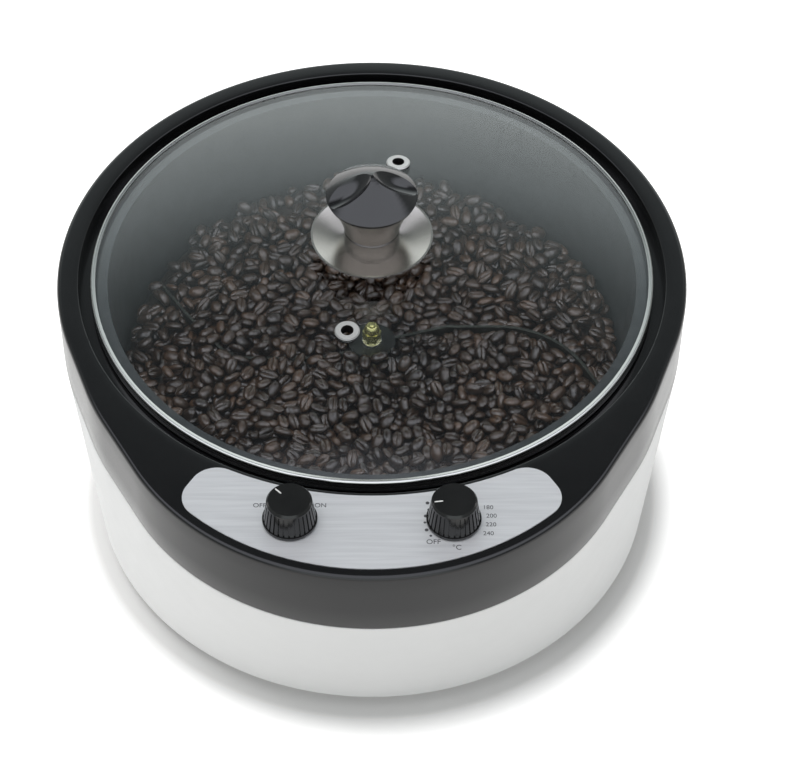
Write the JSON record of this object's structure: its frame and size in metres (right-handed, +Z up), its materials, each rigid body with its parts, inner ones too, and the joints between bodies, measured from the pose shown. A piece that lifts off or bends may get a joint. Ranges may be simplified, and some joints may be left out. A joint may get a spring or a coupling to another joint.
{
  "type": "home coffee bean roaster",
  "caption": "Round countertop coffee bean roaster with a lift-off domed glass lid, a turning stirrer in a wide pan and a control nose with rotary knobs.",
  "frame": {"origin": "on the table, in the middle of the footprint's box", "axes": "+Z up, -Y towards the user at the control nose, +X to the user's right"},
  "size_m": [0.323, 0.3634, 0.2395],
  "materials": {
    "bearing_bronze": "turned",
    "black_body": "smooth satin black enamel",
    "black_wire": "insulated wire",
    "blade_steel": "bright pressed sheet",
    "blue_wire": "insulated wire",
    "brushed_panel": "fine brushed, satin",
    "cap_plastic": "glossy black",
    "case_aluminium": "die cast",
    "coated_pan": "dark non-stick coating",
    "copper_tube": "bright copper tube",
    "dark_plastic": "matte",
    "eyelet_metal": "bright eyelet",
    "foot_rubber": "matte black",
    "gear_plastic": "moulded",
    "heater_steel": "heat-darkened tube",
    "hub_steel": "dark coated",
    "knob_plastic": "glossy black",
    "lid_glass": "clear tempered",
    "nut_brass": "polished",
    "pale_ceramic": "matte",
    "pale_plastic": "matte",
    "polished_steel": "polished",
    "red_wire": "insulated wire",
    "rim_steel": "polished rolled strip",
    "screw_steel": "zinc-plated",
    "seal_rubber": "matte silicone",
    "shaft_steel": "ground",
    "shield_aluminium": "bright rolled sheet",
    "white_body": "smooth glossy white enamel",
    "winding": "varnished winding",
    "zinc_plate": "zinc-plated sheet"
  },
  "bodies": {
    "body": {"upper_housing": "black_body", "drum": "white_body", "control_panel": "brushed_panel", "base_plate": "zinc_plate", "rubber_feet": "foot_rubber", "foot_screws": "screw_steel", "foot_nuts": "screw_steel", "pan_seal": "seal_rubber", "pan": "coated_pan", "shaft_bush": "bearing_bronze", "shaft_seal": "seal_rubber", "heating_element": "heater_steel", "element_clamps": "zinc_plate", "heat_shield": "shield_aluminium", "pan_studs": "screw_steel", "upper_posts": "screw_steel", "motor_bracket": "zinc_plate", "lower_posts": "screw_steel", "tie_screws": "screw_steel", "gear_case": "case_aluminium", "gear_cover": "case_aluminium", "gear_screws": "screw_steel", "motor_can": "zinc_plate", "motor_stator": "winding", "motor_screws": "screw_steel", "switch_case": "dark_plastic", "thermostat_case": "pale_plastic", "control_nuts": "screw_steel", "thermostat_bulb": "copper_tube", "capillary_tube": "copper_tube", "bulb_clips": "zinc_plate", "thermal_fuse": "pale_ceramic", "terminal_block": "pale_plastic", "cord_gland": "dark_plastic", "control_wires": "blue_wire", "heater_wires": "red_wire", "motor_wires": "black_wire"},
    "stirrer": {"drive_shaft": "shaft_steel", "drive_gear": "gear_plastic", "shaft_clip": "screw_steel", "stirrer_hub": "hub_steel", "long_blade": "blade_steel", "short_blade": "blade_steel", "hub_washer": "screw_steel", "hub_nut": "nut_brass"},
    "motor_rotor": {"motor_rotor": "shaft_steel", "motor_pinion": "nut_brass"},
    "lid": {"lid_rim": "rim_steel", "lid_glass": "lid_glass", "steam_vents": "eyelet_metal", "knob_saucer": "polished_steel", "knob_stem": "polished_steel", "knob_cap": "cap_plastic", "knob_screw": "screw_steel"},
    "switch": {"switch_knob": "knob_plastic", "switch_shaft": "shaft_steel"},
    "temperature_dial": {"temperature_knob": "knob_plastic", "temperature_shaft": "shaft_steel"}
  },
  "joints": [
    {"name": "stirrer_spin", "type": "hinge", "parent": "body", "child": "stirrer", "pos_m": [0, 0.02025, 0.1], "axis": [0, 0, 1], "continuous": true},
    {"name": "motor_spin", "type": "hinge", "parent": "body", "child": "motor_rotor", "pos_m": [0, 0.05625, 0.05], "axis": [0, 0, 1], "continuous": true},
    {"name": "lid_lift", "type": "slide", "parent": "body", "child": "lid", "axis": [0, 0, 1], "range_m": [0, 0.25]},
    {"name": "switch_turn", "type": "hinge", "parent": "body", "child": "switch", "pos_m": [-0.0385, -0.14725, 0.18], "axis": [0, 0, 1], "range_deg": [-135, 45]},
    {"name": "temperature_turn", "type": "hinge", "parent": "body", "child": "temperature_dial", "pos_m": [0.0385, -0.14725, 0.18], "axis": [0, 0, 1], "range_deg": [-216, 40]}
  ],
  "couplings": [
    {"joint": "motor_spin", "follows": "stirrer_spin", "ratio": -3}
  ]
}
